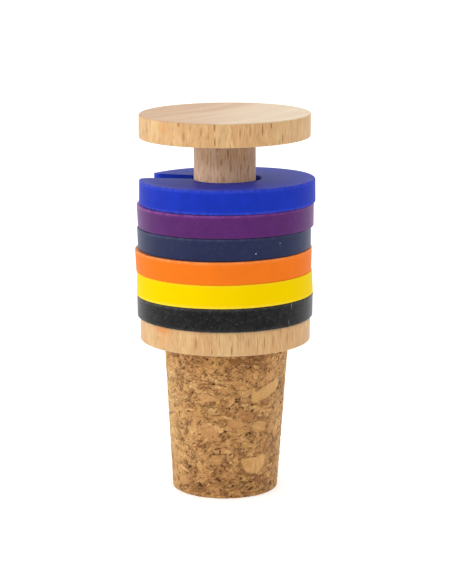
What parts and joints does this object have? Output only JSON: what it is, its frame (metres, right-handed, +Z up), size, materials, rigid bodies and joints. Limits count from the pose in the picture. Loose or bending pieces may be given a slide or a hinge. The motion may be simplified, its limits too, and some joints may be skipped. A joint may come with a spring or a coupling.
{
  "type": "wooden bottle stopper",
  "caption": "Bottle stopper with a turned beech head on a tapered cork plug and a stack of slit coloured silicone rings round the head's neck.",
  "frame": {"origin": "the centre of the cork's flat free end, which it stands on", "axes": "+Z up the stopper's axis to its top disc, -X out through the slit of the top ring"},
  "size_m": [0.0316, 0.0312, 0.0674],
  "materials": {
    "beech": "satin",
    "cork": "matte",
    "silicone_blue": "matte",
    "silicone_purple": "matte",
    "silicone_navy": "matte",
    "silicone_orange": "matte",
    "silicone_yellow": "matte",
    "silicone_black": "matte"
  },
  "bodies": {
    "root": {"turned_head": "beech", "cork_plug": "cork", "ring_blue": "silicone_blue", "ring_purple": "silicone_purple", "ring_navy": "silicone_navy", "ring_orange": "silicone_orange", "ring_yellow": "silicone_yellow", "ring_black": "silicone_black"}
  },
  "joints": []
}
